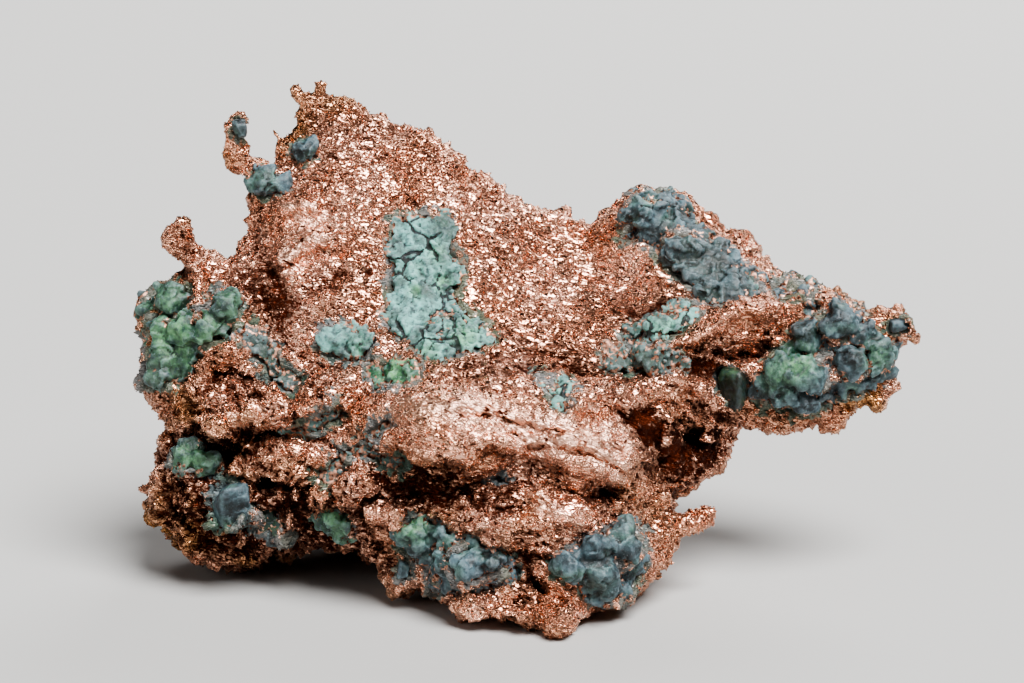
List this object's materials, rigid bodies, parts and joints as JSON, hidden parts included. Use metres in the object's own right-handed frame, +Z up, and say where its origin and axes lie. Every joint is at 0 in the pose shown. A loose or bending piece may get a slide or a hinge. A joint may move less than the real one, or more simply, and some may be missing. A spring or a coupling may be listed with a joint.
{
  "type": "native copper nugget",
  "caption": "Hackly native copper nugget that stands on its lobed underside, with blue-green crystals and crusts grown into its faces and thin curled prongs at its rim.",
  "frame": {"origin": "bottom centre of the bounding box, on the floor the nugget stands on", "axes": "+X to the right across the broad front face, +Y away from the viewer, +Z up"},
  "size_m": [0.0388, 0.0206, 0.0247],
  "materials": {
    "copper": "bright hackly native copper, part tarnished",
    "pale_crust": "matt pale blue-green mineral crust",
    "green_crust": "matt green mineral crust",
    "blue_crystal": "waxy grey-blue crystal",
    "green_crystal": "waxy sea-green crystal",
    "smoky_crystal": "waxy dark grey-green crystal"
  },
  "bodies": {
    "root": {"copper_mass": "copper", "crystals_left": "green_crystal", "crystals_right": "blue_crystal", "crystals_lower_middle": "blue_crystal", "crystals_lower_right": "blue_crystal", "crystals_lower_left": "green_crystal", "crystal_lower_left_point": "blue_crystal", "crystals_lower_left_dark": "smoky_crystal", "crystals_lower_pocket": "green_crystal", "crystal_lower_edge": "blue_crystal", "crystals_prong_base": "blue_crystal", "crystals_upper_left": "blue_crystal", "crystal_arm_tip": "blue_crystal", "crystal_dark_pocket": "smoky_crystal", "crystals_back_upper": "blue_crystal", "crystals_back_arm": "green_crystal", "crystal_hook_tip": "blue_crystal", "crust_centre": "pale_crust", "crust_upper_right": "blue_crystal", "crust_centre_left": "pale_crust", "crust_green_seam": "green_crust", "crust_right_lens": "pale_crust", "crust_centre_right": "pale_crust", "crust_left_strip": "blue_crystal", "crust_ledge_strip": "pale_crust", "crust_short_strip": "pale_crust", "crust_arc": "pale_crust", "crust_groove": "pale_crust", "crust_arm_ridge": "blue_crystal", "crust_small_patch": "blue_crystal"}
  },
  "joints": []
}
